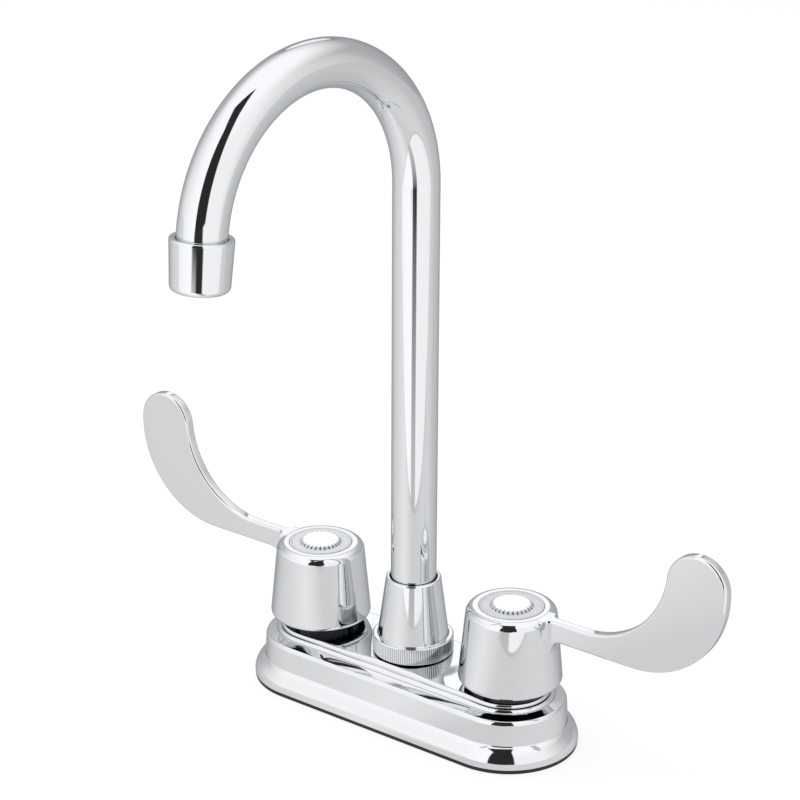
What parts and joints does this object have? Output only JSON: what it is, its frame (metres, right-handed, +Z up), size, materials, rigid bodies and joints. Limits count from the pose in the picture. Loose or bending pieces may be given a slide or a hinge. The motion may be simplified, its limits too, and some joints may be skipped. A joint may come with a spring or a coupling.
{
  "type": "gooseneck bar faucet",
  "caption": "Deck-mounted bar faucet: stepped obround base, swivelling gooseneck spout in a tapered knurled nut, conical hubs with wrist blade handles, threaded inlet shanks.",
  "frame": {"origin": "on the sink deck, under the gasket, midway between the two valves and on the spout's swivel axis", "axes": "+Z up along the spout's riser, -Y towards the user and the spout's outlet, +X to the user's right"},
  "size_m": [0.3048, 0.1621, 0.3565],
  "materials": {
    "chrome": "polished chrome plate",
    "rubber": "matt black",
    "brass": "machined, unplated",
    "copper": "drawn copper tube",
    "ceramic": "lapped ceramic",
    "steel": "stainless",
    "white_plastic": "moulded",
    "nut_plastic": "moulded, fine grain",
    "clear_plastic": "clear, polished",
    "bright_foil": "bright"
  },
  "bodies": {
    "deck_set": {"base_cover": "chrome", "spout_nut": "chrome", "deck_gasket": "rubber", "seat_seal_left": "rubber", "seat_seal_right": "rubber", "spout_hub": "brass", "valve_body_left": "brass", "valve_body_right": "brass", "inlet_shank_left": "brass", "inlet_shank_right": "brass", "cartridge_housing_left": "brass", "cartridge_housing_right": "brass", "crossover_tube_left": "copper", "crossover_tube_right": "copper", "fixed_disc_left": "ceramic", "fixed_disc_right": "ceramic", "mounting_washer_left": "steel", "mounting_washer_right": "steel", "spout_slip_washer": "white_plastic", "mounting_nut_left": "nut_plastic", "mounting_nut_right": "nut_plastic", "lock_ring_left": "nut_plastic", "lock_ring_right": "nut_plastic"},
    "left_handle_set": {"handle_left": "chrome", "index_button_left": "clear_plastic", "index_insert_left": "bright_foil", "handle_screw_left": "steel", "stem_left": "brass", "moving_disc_left": "ceramic", "stem_o_rings_left": "rubber", "stem_clip_left": "steel"},
    "right_handle_set": {"handle_right": "chrome", "index_button_right": "clear_plastic", "index_insert_right": "bright_foil", "handle_screw_right": "steel", "stem_right": "brass", "moving_disc_right": "ceramic", "stem_o_rings_right": "rubber", "stem_clip_right": "steel"},
    "spout_set": {"gooseneck_tube": "chrome", "spout_fitting": "brass", "spout_o_rings": "rubber", "outlet_bushing": "brass", "aerator_shell": "chrome", "aerator_washer": "rubber", "aerator_insert": "white_plastic", "aerator_screen": "steel"}
  },
  "joints": [
    {"name": "spout_swivel", "type": "hinge", "parent": "deck_set", "child": "spout_set", "pos_m": [0, 0, 0.0343], "axis": [0, 0, 1], "continuous": true},
    {"name": "handle_left_turn", "type": "hinge", "parent": "deck_set", "child": "left_handle_set", "pos_m": [-0.0508, 0, 0.0294], "axis": [0, 0, 1], "range_deg": [0, 90]},
    {"name": "handle_right_turn", "type": "hinge", "parent": "deck_set", "child": "right_handle_set", "pos_m": [0.0508, 0, 0.0294], "axis": [0, 0, -1], "range_deg": [0, 90]}
  ]
}
